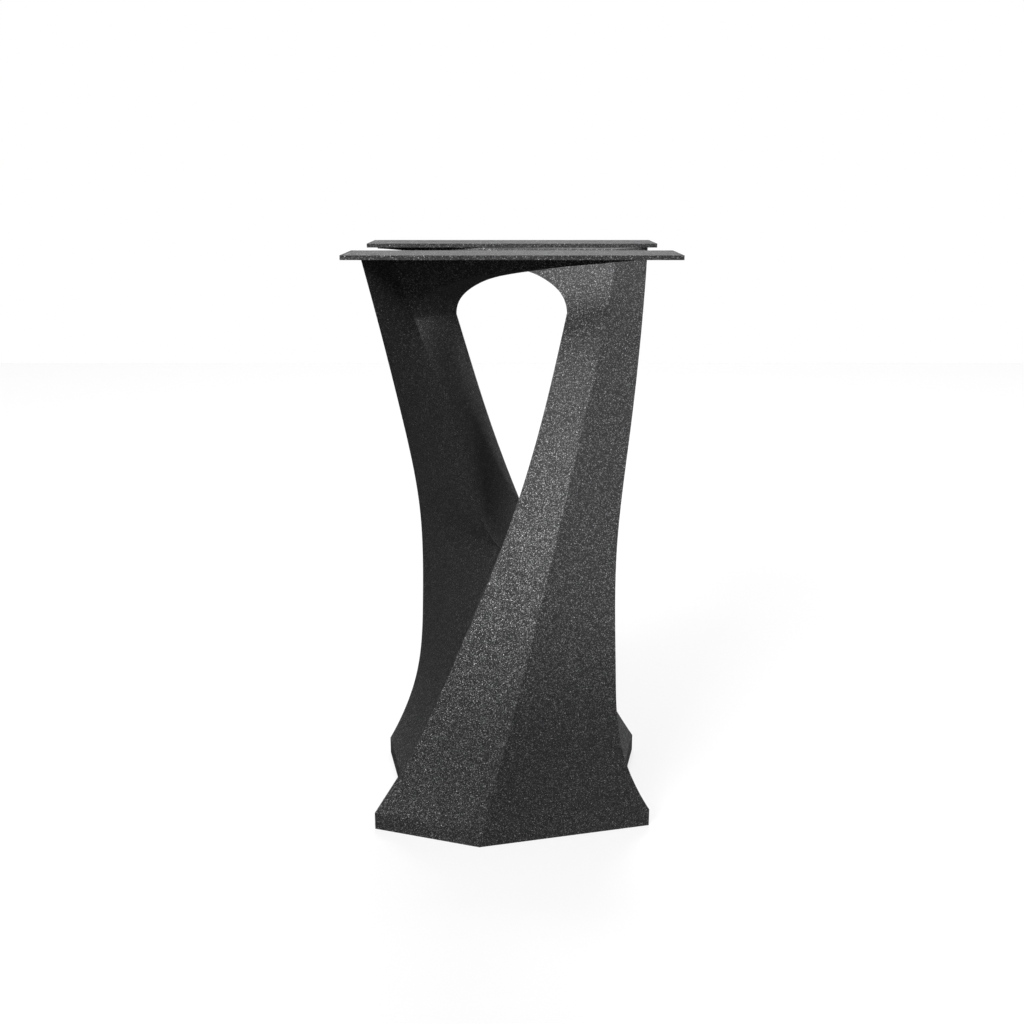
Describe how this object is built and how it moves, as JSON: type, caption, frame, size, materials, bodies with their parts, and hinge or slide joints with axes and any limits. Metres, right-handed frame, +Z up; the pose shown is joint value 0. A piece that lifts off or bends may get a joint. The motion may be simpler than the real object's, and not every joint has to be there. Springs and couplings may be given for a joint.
{
  "type": "pedestal table base",
  "caption": "Twisted folded-steel pedestal base whose crossing legs spread to flat mounting plates under a table top.",
  "frame": {"origin": "on the floor under the middle of the base, on the axis it twists about", "axes": "+Z up along the pedestal, +X along the mounting plates, +Y from the front plate to the back plate"},
  "size_m": [0.366, 0.352, 0.711],
  "materials": {
    "textured_black": "textured black powder coat with fine silver speckle",
    "plate_black": "textured black powder coat"
  },
  "bodies": {
    "root": {"pedestal_body": "textured_black", "front_mounting_plate": "plate_black", "back_mounting_plate": "plate_black"}
  },
  "joints": []
}
